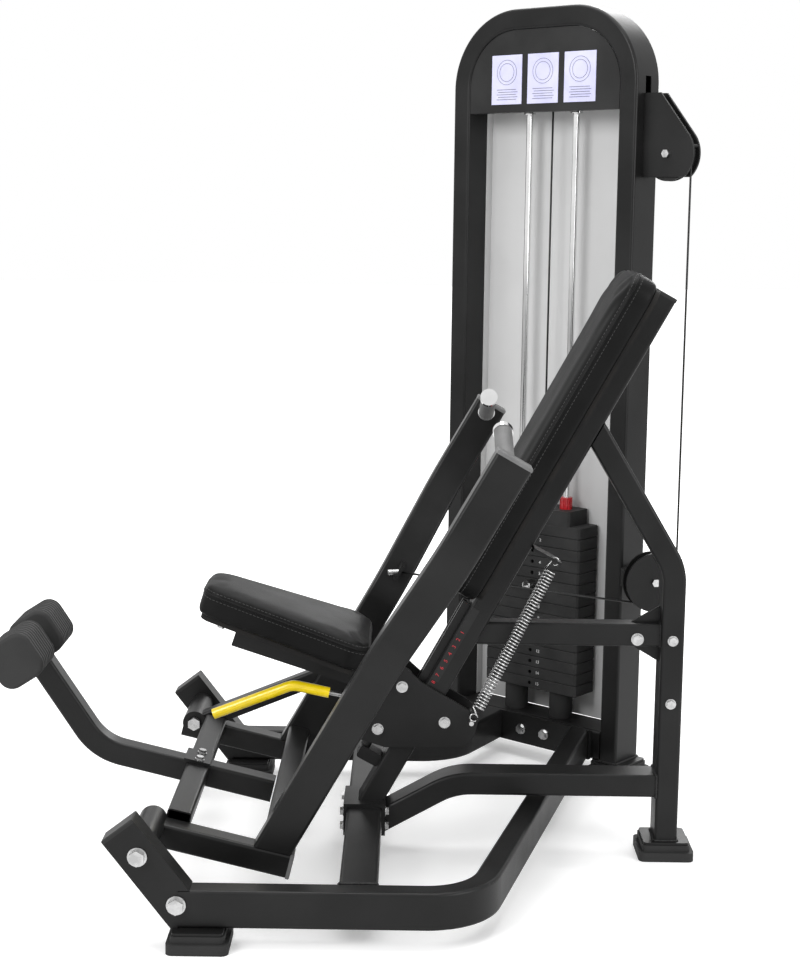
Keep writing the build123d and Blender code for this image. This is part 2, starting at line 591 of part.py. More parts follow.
# ---- press arms ---------------------------------------------------------------------------------
side_in = ARM_Y - TUBE_THIN / 2
hub_end = rail_inside - RUN_GAP
side_start = -HUB_R


def mirrored(shape, side):
    """Pieces are drawn on the far side; side -1 gives the near one."""
    return shape if side > 0 else mirror(shape, Plane.XZ)


def make_side_tube():
    """Lower side tube with the round pivot hub welded across its front end."""
    ends = [at(SIDE, side_start, ARM_Y, 0), at(SIDE, SIDE_LENGTH, ARM_Y, 0)]
    body = tube(ends, [], TUBE_THIN, TUBE_THIN, (0, 1, 0))
    body += rod((PIVOT_X, side_in, PIVOT_Z), (PIVOT_X, hub_end, PIVOT_Z), HUB_R)
    bore_r = PIVOT_PIN_R + PIVOT_FIT
    return body - rod((PIVOT_X, side_in - 50, PIVOT_Z), (PIVOT_X, hub_end + 50, PIVOT_Z), bore_r)


def make_arm():
    """Upright arm: straight from the side tube, bent outward, straight again to the handle."""
    points = [at(ARM, 0, ARM_Y, 0), at(ARM, ARM_BEND_START, ARM_Y, 0),
              at(ARM, ARM_BEND_END, ARM_TOP_Y, 0), at(ARM, ARM_LENGTH, ARM_TOP_Y, 0)]
    body = tube(points, [ARM_BEND_R, ARM_BEND_R], TUBE_WIDE, TUBE_THIN, ARM.z_dir)
    below = SIDE.location * block(-100, 600, 0, 600, -400, TUBE_THIN / 2)
    return body - below


side_tube = make_side_tube()
arm = make_arm()
side_cap = cap(SIDE, SIDE_LENGTH, ARM_Y, TUBE_THIN, TUBE_THIN)
arm_cap = cap(ARM, ARM_LENGTH, ARM_TOP_Y, TUBE_THIN, TUBE_WIDE)
for side, name in zip(NEAR_AND_FAR, ("near", "far")):
    nodes[f"arm_side_tube_{name}"] = mirrored(side_tube, side)
    nodes[f"press_arm_{name}"] = mirrored(arm, side)
nodes["arm_caps"] = group(mirrored(c, s) for s in NEAR_AND_FAR for c in (side_cap, arm_cap))


def make_cross(x, z, deep):
    """Cross tube between the two side tubes, turned to their slope."""
    body = Pos(x, 0, z) * Rot(0, SIDE_SLOPE, 0) * tube(
        [(0, -side_in, 0), (0, side_in, 0)], [], TUBE_THIN, deep, (1, 0, 0)
    )
    return body


lever_fall = sin(radians(SIDE_SLOPE)) / cos(radians(SIDE_SLOPE))
cross_front_z = LEVER_CORNER[1] - (CROSS_FRONT_X - LEVER_CORNER[0]) * lever_fall
nodes["arm_cross_front"] = make_cross(CROSS_FRONT_X, cross_front_z, TUBE_THIN)
nodes["arm_cross_rear"] = make_cross(CROSS_REAR_X, CROSS_REAR_Z, TUBE_WIDE)
brace_along = 225.0
brace_front = at(SIDE, 12, ARM_Y, TUBE_THIN / 2 - 8)
brace_rear = at(ARM, brace_along, ARM_Y, 0)
far_brace = tube([brace_front, brace_rear], [], TUBE_THIN - 10, TUBE_THIN - 10, (0, 1, 0))
arm_zone = ARM.location * block(-200, 900, 0, 600, -TUBE_WIDE / 2, TUBE_WIDE / 2)
side_zone = SIDE.location * block(-200, 600, 0, 600, -200, TUBE_THIN / 2)
hub_zone = rod((PIVOT_X, 0, PIVOT_Z), (PIVOT_X, 600, PIVOT_Z), HUB_R)
nodes["arm_brace_far"] = far_brace - arm_zone - side_zone - hub_zone
handle_plane = Plane(
    origin=at(ARM, ARM_LENGTH - 24, ARM_TOP_Y - TUBE_THIN / 2, 0),
    z_dir=(0, -cos(radians(HANDLE_RISE)), sin(radians(HANDLE_RISE))), x_dir=(1, 0, 0),
)
arm_face = block(-1000, 1000, ARM_TOP_Y - TUBE_THIN / 2, 1000, 0, 2000)
bar_length = HANDLE_LENGTH + 20
bar_rod = Pos(0, 0, HANDLE_LENGTH / 2 - 10) * Cylinder(HANDLE_R, bar_length)
handle_bar = handle_plane.location * bar_rod - arm_face
grip_start = 22.0
grip_length = HANDLE_LENGTH - 30
grip_sleeve = Circle(GRIP_R) - Circle(HANDLE_R)
grip = handle_plane.location * Pos(0, 0, grip_start) * extrude(grip_sleeve, grip_length)
ring = Pos(0, 0, grip_start - 8) * extrude(Circle(GRIP_R + 2) - Circle(HANDLE_R), 8)
disc = Pos(0, 0, grip_start + grip_length) * extrude(Circle(GRIP_R + 2), 8)
disc -= Cylinder(HANDLE_R, 2 * HANDLE_LENGTH)
end_face = Pos(0, 0, HANDLE_LENGTH) * extrude(Circle(GRIP_R + 2), 4)
rings = [handle_plane.location * ring, handle_plane.location * (disc + end_face)]
nodes["handle_bars"] = group(mirrored(handle_bar, s) for s in NEAR_AND_FAR)
nodes["handle_grips"] = group(mirrored(grip, s) for s in NEAR_AND_FAR)
nodes["handle_rings"] = group(mirrored(r, s) for s in NEAR_AND_FAR for r in rings)
tab = ARM.location * (
    block(CABLE_TAB_ALONG - 20, CABLE_TAB_ALONG + 20, side_in - 40, side_in + 45, -4, 4)
)
nodes["cable_stop"] = rod(tab_point + run_dir, tab_point + run_dir * 26, 7) - tab
tab_pieces = tab - arm - rod(tab_point - run_dir * 30, tab_point + run_dir * 30, CABLE_R + 1.5)
nodes["cable_tab"] = tab_pieces.solids().sort_by(Axis.Y)[0]
pin_reach = RAIL_Y + TUBE_THIN / 2
pivot_bolts = [
    bolt((PIVOT_X, s * pin_reach, PIVOT_Z), (0, s, 0), pin_reach - side_in + 2, PIVOT_PIN_R) for s in NEAR_AND_FAR
]
nodes["pivot_bolts"] = group(pivot_bolts)

# ---- foot lever ---------------------------------------------------------------------------------
cross_front_face = CROSS_REAR_X - TUBE_THIN / 2 - 4
lever_end_z = LEVER_CORNER[1] - (cross_front_face - LEVER_CORNER[0]) * lever_fall
lever_path = [(LEVER_TOP[0], 0, LEVER_TOP[1]), (LEVER_CORNER[0], 0, LEVER_CORNER[1]),
              (cross_front_face, 0, lever_end_z)]
foot_lever = tube(lever_path, [LEVER_BEND], TUBE_THIN, TUBE_THIN, (0, 1, 0))
cross_zone = Pos(CROSS_REAR_X, 0, CROSS_REAR_Z) * Rot(0, SIDE_SLOPE, 0) * Box(TUBE_THIN, 400, TUBE_WIDE)
front_zone = Pos(CROSS_FRONT_X, 0, cross_front_z) * Rot(0, SIDE_SLOPE, 0) * Box(TUBE_THIN, 400, TUBE_THIN)
nodes["foot_lever"] = foot_lever - cross_zone - front_zone
nodes["lever_clamp"] = Pos(CROSS_FRONT_X, 0, cross_front_z) * Rot(0, SIDE_SLOPE, 0) * (
    block(-TUBE_THIN / 2 - PLATE, TUBE_THIN / 2, -38, 38, TUBE_THIN / 2, TUBE_THIN / 2 + PLATE)
)
nodes["lever_bolts"] = group(
    Pos(CROSS_FRONT_X, 0, cross_front_z) * Rot(0, SIDE_SLOPE, 0)
    * hex_head((0, y, TUBE_THIN / 2 + PLATE), (0, 0, 1), 5) for y in (-24, 24)
)
pad_frame = Plane(origin=(FOOT_PAD_CENTRE[0], 0, FOOT_PAD_CENTRE[1]), x_dir=(0.84, 0, 0.54), z_dir=(0, -1, 0))
pad_face = RectangleRounded(FOOT_PAD_SIZE, FOOT_PAD_SIZE, 30)
pad_tube_r = 15.0
pad_far_end = FOOT_PAD_GAP + FOOT_PAD_LENGTH
pad_bar_half = pad_far_end - 12
pad_bore = Cylinder(pad_tube_r + 0.2, 2 * pad_bar_half)
nodes["foot_pads"] = group(
    pad_frame.location * (Pos(0, 0, z) * extrude(pad_face, FOOT_PAD_LENGTH) - pad_bore)
    for z in (FOOT_PAD_GAP, -pad_far_end)
)
pad_bar = pad_frame.location * Cylinder(pad_tube_r, 2 * pad_bar_half)
nodes["foot_pad_bar"] = pad_bar
nodes["foot_lever"] = nodes["foot_lever"] - pad_bar

# ---- seat carriage ------------------------------------------------------------------------------
rack = block(RACK_START, RACK_END, -RACK_WIDTH / 2, RACK_WIDTH / 2, main_half, main_half + RACK_THICK)
rack -= block(RACK_START, RACK_END, -GROOVE_WIDTH / 2, GROOVE_WIDTH / 2,
              main_half + RACK_THICK - GROOVE_DEPTH, main_half + RACK_THICK)
nodes["seat_rack"] = MAIN.location * rack
rack_face = main_half + RACK_THICK
stop_body = block(64, 92, -22, 22, main_half, main_half + 52)
buffer_along = FRONT_ROLLERS[0] - ROLLER_R
nodes["seat_stop"] = MAIN.location * fillet(stop_body.edges().filter_by(Axis.Y), 6)
buffer_f = rack_face + ROLLER_R
nodes["seat_stop_buffer"] = MAIN.location * rod((92, 0, buffer_f), (buffer_along - 3, 0, buffer_f), 11)
nodes["scale_strip"] = MAIN.location * block(300, 482, -TUBE_WIDE / 2 - 1.2, -TUBE_WIDE / 2, 4, 22)

front_f = rack_face + ROLLER_R + RUN_GAP
rear_f = -main_half - ROLLER_R - RUN_GAP
roller_places = [(FRONT_ROLLERS[0], front_f), (FRONT_ROLLERS[1], front_f), (REAR_ROLLER, rear_f)]
cheek_points = [
    (296, 84), (285, 36), (281, -86), (272, -112), (236, -122), (206, -116),
    (120, 34), (108, 94), (126, 132), (238, 170), (286, 131),
]
cheek = fillet(Polygon(*cheek_points, align=None).vertices(), 11)
cheek_face = Plane(origin=(0, 0, 0), x_dir=(1, 0, 0), z_dir=(0, -1, 0)) * cheek


def cheek_plate(side):
    """One carriage side plate with its axle bores, drawn in the main tube's frame."""
    plate = extrude(cheek_face, PLATE, dir=(0, side, 0))
    plate = Pos(0, side * CHEEK_IN, 0) * plate
    for along, front in roller_places:
        plate -= rod((along, -90, front), (along, 90, front), AXLE_R)
    plate -= rod((SPRING_PIN[0], -90, SPRING_PIN[1]), (SPRING_PIN[0], 90, SPRING_PIN[1]), SPRING_PIN_R)
    return MAIN.location * plate


for side, name in zip(NEAR_AND_FAR, ("near", "far")):
    nodes[f"carriage_plate_{name}"] = cheek_plate(side)
axle_half = CHEEK_IN + PLATE
roller_names = ("seat_roller_low", "seat_roller_high", "seat_roller_rear")
for name, (along, front) in zip(roller_names, roller_places):
    wheel = Pos(along, 0, front) * Rot(90, 0, 0) * Cylinder(ROLLER_R, ROLLER_WIDTH)
    wheel = fillet(wheel.edges().filter_by(GeomType.CIRCLE), 2)
    nodes[name] = MAIN.location * (wheel - rod((along, -90, front), (along, 90, front), AXLE_R + PIVOT_FIT))
nodes["roller_axles"] = group(
    MAIN.location * bolt((along, -axle_half, front), (0, -1, 0), 2 * axle_half, AXLE_R)
    for along, front in roller_places
)
latch_low = rack_face + 14
latch_block = block(LATCH_ALONG - 15, LATCH_ALONG + 15, -CHEEK_IN, CHEEK_IN, latch_low, latch_low + 34)
latch_bore = rod((LATCH_ALONG, 0, 0), (LATCH_ALONG, 0, 300), LATCH_R + PIVOT_FIT)
nodes["latch_guide"] = MAIN.location * (latch_block - latch_bore)
latch_tip = rack_face - GROOVE_DEPTH + 3
latch_pin = rod((LATCH_ALONG, 0, latch_tip), (LATCH_ALONG, 0, latch_low + 50), LATCH_R)
latch_pin += rod((LATCH_ALONG, 0, latch_low + 36), (LATCH_ALONG, 0, latch_low + 50), LATCH_R + 5)
nodes["latch_pin"] = MAIN.location * latch_pin
pivot_y = -axle_half
lever_bolt = rod((LEVER_PIVOT[0], pivot_y - 14, LEVER_PIVOT[1]), (LEVER_PIVOT[0], -CHEEK_IN, LEVER_PIVOT[1]), AXLE_R)
lever_bolt_head = hex_head((LEVER_PIVOT[0], pivot_y - 13, LEVER_PIVOT[1]), (0, -1, 0), AXLE_R)
lever_pivot_bore = rod((LEVER_PIVOT[0], -200, LEVER_PIVOT[1]), (LEVER_PIVOT[0], 0, LEVER_PIVOT[1]), AXLE_R)
nodes["carriage_plate_near"] = nodes["carriage_plate_near"] - MAIN.location * lever_pivot_bore
nodes["lever_pivot_bolt"] = MAIN.location * (lever_bolt + lever_bolt_head)
hub = rod((LEVER_PIVOT[0], pivot_y - 12.5, LEVER_PIVOT[1]), (LEVER_PIVOT[0], pivot_y - RUN_GAP, LEVER_PIVOT[1]), 12)
hub_y = pivot_y - 6.5
lever_pivot = at(MAIN, LEVER_PIVOT[0], hub_y, LEVER_PIVOT[1])
lever_points = [lever_pivot, (-160, hub_y, 369), (-245, hub_y, 386), (-409, hub_y, 322)]
lever_line = FilletPolyline(*lever_points, radius=[30, 45])
lever_rod = sweep(Plane(origin=lever_line @ 0, z_dir=lever_line % 0) * Circle(YELLOW_ROD_R), path=lever_line)
lever_clear = rod((LEVER_PIVOT[0], -90, LEVER_PIVOT[1]), (LEVER_PIVOT[0], 0, LEVER_PIVOT[1]), AXLE_R + PIVOT_FIT)
nodes["seat_lever"] = lever_rod + MAIN.location * hub - MAIN.location * lever_clear
grip_line = FilletPolyline((-166, hub_y, 370), (-245, hub_y, 386), (-416, hub_y, 319), radius=45)
sleeve_plane = Plane(origin=grip_line @ 0, z_dir=grip_line % 0)
sleeve = sweep(sleeve_plane * Circle(YELLOW_GRIP_R), path=grip_line)
nodes["seat_lever_grip"] = sleeve - lever_rod
nodes["spring_pin"] = MAIN.location * rod(
    (SPRING_PIN[0], SPRING_Y - 8, SPRING_PIN[1]), (SPRING_PIN[0], axle_half, SPRING_PIN[1]), SPRING_PIN_R
)
spring_low = at(MAIN, SPRING_PIN[0] + SPRING_PIN_R + RUN_GAP, SPRING_Y, SPRING_PIN[1])
spring_hang = -main_half - 52
spring_top = at(MAIN, SPRING_TAB_ALONG + 5, SPRING_Y, spring_hang)
spring_tab = block(SPRING_TAB_ALONG - 3, SPRING_TAB_ALONG + 3, SPRING_Y - 12, -20, spring_hang - 14, -main_half)
spring_tab -= rod((SPRING_TAB_ALONG - 9, SPRING_Y, spring_hang), (SPRING_TAB_ALONG + 9, SPRING_Y, spring_hang), 5)
nodes["spring_tab"] = MAIN.location * spring_tab
spring_run = (Vector(*spring_top) - Vector(*spring_low)).normalized()
spring_body_low = spring_low + spring_run * 30
spring_body_high = spring_top - spring_run * 32
coil = rod(spring_body_low, spring_body_high, 13.5) - rod(spring_low, spring_top, 10)
hooks = rod(spring_low, spring_body_low + spring_run, 1.6), rod(spring_body_high - spring_run, spring_top, 1.6)
end_discs = [rod(spring_body_low, spring_body_low + spring_run * 3, 11),
             rod(spring_body_high - spring_run * 3, spring_body_high, 11)]
nodes["seat_spring"] = coil + end_discs[0] + end_discs[1] + hooks[0] + hooks[1]

# ---- seat and back pad --------------------------------------------------------------------------
outline = Polygon(
    (0, -SEAT_HALF_FRONT), (SEAT_LENGTH, -SEAT_HALF_REAR),
    (SEAT_LENGTH, SEAT_HALF_REAR), (0, SEAT_HALF_FRONT), align=None,
)
pad_top = fillet(outline.vertices(), 42)
seat = extrude(pad_top, -SEAT_THICK)
seat = fillet(seat.edges().group_by(Axis.Z)[-1], 16)
nodes["seat_pad"] = SEAT.location * seat
board_face = offset(pad_top, amount=-14)
board = Pos(0, 0, -SEAT_THICK) * extrude(board_face, -BOARD)
board -= block(SEAT_LENGTH - 24, SEAT_LENGTH + 10, -200, 200, -200, 0)
nodes["seat_board"] = SEAT.location * board
beam_top = -SEAT_THICK - BOARD
beam = block(95, SEAT_LENGTH - 8, -CHEEK_IN, CHEEK_IN, beam_top - 45, beam_top)
beam -= block(98, SEAT_LENGTH - 11, -CHEEK_IN + 3, CHEEK_IN - 3, beam_top - 42, beam_top - 3)
nodes["seat_beam"] = SEAT.location * beam
nodes["seat_bolts"] = group(
    SEAT.location * hex_head((x, y, beam_top), (0, 0, -1), 4.5)
    for x in (62, SEAT_LENGTH - 60) for y in (-70, 70)
)
back_outline = RectangleRounded(BACK_LENGTH, BACK_WIDTH, 48)
back_seat = main_half + BOARD
back_mid = BACK_START + BACK_LENGTH / 2
back = extrude(back_outline, BACK_THICK)
back = fillet(back.edges().group_by(Axis.Z)[-1], 18)
nodes["back_pad"] = MAIN.location * Pos(back_mid, 0, back_seat) * back
back_board = Pos(back_mid, 0, main_half) * extrude(offset(back_outline, amount=-14), BOARD)
nodes["back_board"] = MAIN.location * back_board
nodes["back_bolts"] = group(
    MAIN.location * (Pos(BACK_START + along, y, main_half) * hex_head((0, 0, 0), (0, 0, -1), 5))
    for along in (150, 600) for y in (-TUBE_WIDE / 2 - 22, TUBE_WIDE / 2 + 22)
)

# ---- like pieces on one body that share a node ---------------------------------------------------
shared_nodes = {
    "frame_bolts": ("flange_bolts", "bracket_bolts", "saddle_bolts", "upright_bolts", "back_bolts",
                    "pivot_bolts", "pulley_axles"),
    "rubber_feet": ("front_feet", "rear_foot", "tower_feet"),
    "weld_plates": ("base_flange", "gussets", "spring_tab", "front_foot_plates", "rear_foot_plate",
                    "tower_foot_plates"),
    "tube_caps": ("bracket_caps", "main_tube_cap"),
    "pivot_brackets": ("pivot_bracket_near", "pivot_bracket_far"),
    "rear_tubes": ("lower_rear_tube", "tie_tube"),
    "label_plates": ("sign_cards",),
    "sign_panel": ("sign_panel", "scale_strip"),
    "guide_rods": ("guide_rods", "rod_collars"),
    "guide_bar": ("guide_bar", "inner_pulley_hangers"),
    "pulley_wing": ("tower_wing", "wing_guards"),
    "lower_pulley_bracket": ("lower_pulley_cheeks", "lower_pulley_mount"),
    "seat_rack": ("seat_rack", "seat_stop"),
    "rubber_bumpers": ("stack_bumpers", "seat_stop_buffer"),
    "stack_carrier": ("stack_carrier", "selector_rod"),
    "arm_side_tubes": ("arm_side_tube_near", "arm_side_tube_far"),
    "arm_cross_tubes": ("arm_cross_front", "arm_cross_rear", "arm_brace_far"),
    "handle_bars": ("handle_bars", "handle_rings"),
    "arm_tabs": ("cable_tab", "lever_clamp"),
    "arm_fasteners": ("cable_stop", "lever_bolts"),
    "foot_lever": ("foot_lever", "foot_pad_bar"),
    "carriage_plates": ("carriage_plate_near", "carriage_plate_far", "latch_guide", "seat_beam"),
    "carriage_bolts": ("roller_axles", "spring_pin", "lever_pivot_bolt", "seat_bolts"),
}
for shared, names in shared_nodes.items():
    pieces = [nodes.pop(name) for name in names]
    nodes[shared] = group(solid for piece in pieces for solid in piece.solids())

# ---- origin and files ---------------------------------------------------------------------------
boxes = [shape.bounding_box() for shape in nodes.values()]
low_x = min(box.min.X for box in boxes)
high_x = max(box.max.X for box in boxes)
low_y = min(box.min.Y for box in boxes)
high_y = max(box.max.Y for box in boxes)
to_origin = Pos(-(low_x + high_x) / 2, -(low_y + high_y) / 2, 0)
os.makedirs("parts", exist_ok=True)
for name, shape in nodes.items():
    export_step(to_origin * shape, f"parts/{name}.step")
places = {
    "tab": tab_point,
    "pivot": Vector(PIVOT_X, 0, PIVOT_Z), "pulley_outer": OUT.origin, "pulley_inner": INNER.origin,
    "pulley_lower": LOW.origin, "lever_pivot": lever_pivot,
    "roller_low": at(MAIN, *[roller_places[0][0], 0, roller_places[0][1]]),
    "roller_high": at(MAIN, *[roller_places[1][0], 0, roller_places[1][1]]),
    "roller_rear": at(MAIN, *[roller_places[2][0], 0, roller_places[2][1]]),
}
for name, place in places.items():
    print(name, to_origin.position + place)
print("origin shift", to_origin.position, "nodes", len(nodes))
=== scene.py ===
"""Looks of the chest press machine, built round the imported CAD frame. Metres, +Z up."""

import json
import math
import random

import bmesh
import bpy
import numpy as np
from mathutils import Matrix, Vector
from mathutils.bvhtree import BVHTree


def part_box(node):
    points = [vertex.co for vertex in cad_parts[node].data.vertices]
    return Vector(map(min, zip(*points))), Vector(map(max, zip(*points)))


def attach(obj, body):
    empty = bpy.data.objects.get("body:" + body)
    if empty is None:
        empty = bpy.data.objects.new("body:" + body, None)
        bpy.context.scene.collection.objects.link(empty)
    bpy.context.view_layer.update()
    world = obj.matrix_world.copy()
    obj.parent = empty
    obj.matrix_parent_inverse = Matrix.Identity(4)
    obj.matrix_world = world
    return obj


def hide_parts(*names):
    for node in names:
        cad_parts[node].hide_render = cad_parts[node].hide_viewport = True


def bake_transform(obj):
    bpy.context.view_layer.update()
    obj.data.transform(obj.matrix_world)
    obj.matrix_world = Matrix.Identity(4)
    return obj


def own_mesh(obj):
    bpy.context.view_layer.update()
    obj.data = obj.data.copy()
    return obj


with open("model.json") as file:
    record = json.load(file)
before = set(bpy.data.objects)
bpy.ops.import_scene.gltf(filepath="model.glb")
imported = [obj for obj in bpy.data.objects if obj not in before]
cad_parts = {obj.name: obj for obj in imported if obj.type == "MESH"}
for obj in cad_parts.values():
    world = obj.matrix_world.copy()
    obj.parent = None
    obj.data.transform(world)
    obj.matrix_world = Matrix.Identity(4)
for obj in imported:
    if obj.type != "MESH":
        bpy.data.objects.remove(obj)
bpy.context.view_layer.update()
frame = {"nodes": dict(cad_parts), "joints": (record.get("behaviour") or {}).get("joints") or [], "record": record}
nodes = frame["nodes"]
random.seed(7)

# ---- places, from the frame ----------------------------------------------------------------------
JOINTS = {joint["name"]: joint for joint in frame["joints"]}
MAIN_UP = Vector(JOINTS["seat_slide"]["axis"])
MAIN_FRONT = Vector((-MAIN_UP.z, 0, MAIN_UP.x))
TOWER_FRONT = Vector(JOINTS["selector_pull"]["axis"])
TOWER_RIGHT = Vector((-TOWER_FRONT.y, TOWER_FRONT.x, 0))
PIVOT = Vector(JOINTS["press_turn"]["pos_m"])
MID_Y = PIVOT.y
SEAT_TILT = math.radians(18)
UP = Vector((0, 0, 1))


def middle(node):
    """Centre of a CAD node's box."""
    low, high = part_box(node)
    return (low + high) / 2


def axes_at(origin, x_dir, z_dir):
    """Matrix of a local frame: x along x_dir, z along z_dir."""
    y_dir = z_dir.cross(x_dir)
    place = Matrix((x_dir, y_dir, z_dir)).transposed().to_4x4()
    place.translation = origin
    return place


# ---- materials -----------------------------------------------------------------------------------
def surface(name, dark, light, rough, metal=0.0, drift=6.0, grain=400.0, bump=0.15, depth=0.0002,
            stretch=(1, 1, 1), pattern="NOISE", coat=0.0, spread=0.06, shine=0.5):
    """A node material: colour and roughness drift with broad noise, and a fine pattern gives relief."""
    made = bpy.data.materials.new(name)
    made.use_nodes = True
    tree = made.node_tree
    link = tree.links.new
    shader = tree.nodes["Principled BSDF"]
    shader.inputs["Metallic"].default_value = metal
    shader.inputs["Specular IOR Level"].default_value = shine
    shader.inputs["Coat Weight"].default_value = coat
    shader.inputs["Coat Roughness"].default_value = 0.12
    place = tree.nodes.new("ShaderNodeTexCoord")
    broad = tree.nodes.new("ShaderNodeTexNoise")
    broad.inputs["Scale"].default_value = drift
    broad.inputs["Detail"].default_value = 6
    link(place.outputs["Object"], broad.inputs["Vector"])
    tint = tree.nodes.new("ShaderNodeValToRGB")
    tint.color_ramp.elements[0].position = 0.35
    tint.color_ramp.elements[1].position = 0.65
    tint.color_ramp.elements[0].color = (*dark, 1)
    tint.color_ramp.elements[1].color = (*light, 1)
    link(broad.outputs["Fac"], tint.inputs["Fac"])
    link(tint.outputs["Color"], shader.inputs["Base Color"])
    gloss = tree.nodes.new("ShaderNodeMapRange")
    gloss.inputs["From Min"].default_value = 0.3
    gloss.inputs["From Max"].default_value = 0.7
    gloss.inputs["To Min"].default_value = max(rough - spread, 0.02)
    gloss.inputs["To Max"].default_value = rough + spread
    link(broad.outputs["Fac"], gloss.inputs["Value"])
    link(gloss.outputs["Result"], shader.inputs["Roughness"])
    spaced = tree.nodes.new("ShaderNodeMapping")
    spaced.inputs["Scale"].default_value = stretch
    link(place.outputs["Object"], spaced.inputs["Vector"])
    if pattern == "CELLS":
        fine = tree.nodes.new("ShaderNodeTexVoronoi")
        height = fine.outputs["Distance"]
    else:
        fine = tree.nodes.new("ShaderNodeTexNoise")
        height = fine.outputs["Fac"]
    fine.inputs["Scale"].default_value = grain
    link(spaced.outputs["Vector"], fine.inputs["Vector"])
    relief = tree.nodes.new("ShaderNodeBump")
    relief.inputs["Strength"].default_value = bump
    relief.inputs["Distance"].default_value = depth
    link(height, relief.inputs["Height"])
    link(relief.outputs["Normal"], shader.inputs["Normal"])
    return made


def grey(level):
    """The same value in red, green and blue."""
    return (level, level, level)


MATERIALS = {
    "frame_paint": surface("frame_paint", grey(0.007), grey(0.012), 0.36, grain=900, bump=0.35,
                           depth=0.0003, shine=0.22),
    "arm_paint": surface("arm_paint", grey(0.007), grey(0.012), 0.34, grain=900, bump=0.35,
                         depth=0.0003, shine=0.22),
    "vinyl": surface("vinyl", grey(0.0035), grey(0.006), 0.46, drift=9, grain=900, bump=0.35,
                     depth=0.0002, pattern="CELLS", shine=0.10),
    "pin_steel": surface("pin_steel", grey(0.45), grey(0.60), 0.25, metal=1.0, drift=50, bump=0.1),
    "thread": surface("thread", grey(0.03), grey(0.06), 0.7, drift=300, grain=2000, bump=0.4),
    "board": surface("board", (0.005, 0.005, 0.005), (0.012, 0.011, 0.010), 0.7, drift=30, grain=60,
                     bump=0.4, stretch=(1, 9, 9), shine=0.20),
    "foot_rubber": surface("foot_rubber", grey(0.018), grey(0.030), 0.62, grain=500, bump=0.5,
                           depth=0.0005, shine=0.20),
    "grip_rubber": surface("grip_rubber", grey(0.10), grey(0.14), 0.6, drift=25, grain=800, bump=0.5),
    "cap_plastic": surface("cap_plastic", grey(0.016), grey(0.024), 0.45, grain=700, bump=0.3,
                           shine=0.25),
    "zinc": surface("zinc", grey(0.42), grey(0.62), 0.28, metal=1.0, drift=60, grain=300, bump=0.25),
    "chrome": surface("chrome", grey(0.70), grey(0.80), 0.09, metal=1.0, drift=12, grain=80, bump=0.03,
                      spread=0.03),
    "cast": surface("cast", grey(0.014), grey(0.026), 0.55, drift=14, grain=500, bump=0.7,
                    depth=0.0005, shine=0.20),
    "collar_red": surface("collar_red", (0.42, 0.006, 0.012), (0.60, 0.012, 0.02), 0.28, drift=40,
                          bump=0.1, coat=0.3),
    "shroud_paint": surface("shroud_paint", grey(0.56), grey(0.64), 0.45, drift=2, grain=600, bump=0.2),
    "sign_paint": surface("sign_paint", grey(0.012), grey(0.020), 0.42, drift=8, grain=900, bump=0.25,
                          shine=0.25),
    "label": surface("label", (0.56, 0.56, 0.80), (0.64, 0.64, 0.84), 0.35, drift=20, bump=0.05),
    "ink": surface("ink", (0.05, 0.05, 0.09), (0.10, 0.10, 0.15), 0.5, drift=90, bump=0.05),
    "ink_red": surface("ink_red", (0.40, 0.01, 0.02), (0.55, 0.02, 0.03), 0.5, drift=90, bump=0.05),
    "ink_white": surface("ink_white", grey(0.55), grey(0.75), 0.5, drift=90, bump=0.05),
    "yellow": surface("yellow", (0.82, 0.60, 0.004), (0.90, 0.67, 0.008), 0.25, drift=30, grain=200,
                      bump=0.08, coat=0.4),
    "nylon": surface("nylon", grey(0.012), grey(0.022), 0.40, drift=30, grain=600, bump=0.25, shine=0.25),
    "cable_coat": surface("cable_coat", grey(0.007), grey(0.014), 0.35, drift=60, grain=500, bump=0.3,
                          shine=0.30),
    "spring_steel": surface("spring_steel", grey(0.45), grey(0.62), 0.24, metal=1.0, drift=120,
                            grain=400, bump=0.15),
    "weld": surface("weld", grey(0.012), grey(0.022), 0.38, drift=120, grain=350, bump=0.8,
                    depth=0.0008, shine=0.22),
}

for part in frame["record"]["subparts"]:
    mesh = nodes[part["node"]].data
    mesh.materials.clear()
    mesh.materials.append(MATERIALS[part["material_slot"]])

# selector pin: a face that stays near the axis' height is steel, the rest of the knob is black
SHANK_BAND = 0.0065
pin_mesh = nodes["selector_pin"].data
pin_mesh.materials.clear()
pin_mesh.materials.append(MATERIALS["nylon"])
pin_mesh.materials.append(MATERIALS["pin_steel"])
pin_low, pin_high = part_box("selector_pin")
pin_level = (pin_low.z + pin_high.z) / 2
for face in pin_mesh.polygons:
    corners = [pin_mesh.vertices[i].co for i in face.vertices]
    slim = max(abs(corner.z - pin_level) for corner in corners) < SHANK_BAND
    face.material_index = 1 if slim else 0


# ---- mesh helpers --------------------------------------------------------------------------------
def new_object(name, mesh, material, body):
    """Put a finished mesh in the scene on a body."""
    mesh.materials.clear()
    mesh.materials.append(MATERIALS[material])
    thing = bpy.data.objects.new(name, mesh)
    bpy.context.scene.collection.objects.link(thing)
    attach(thing, body)
    return thing


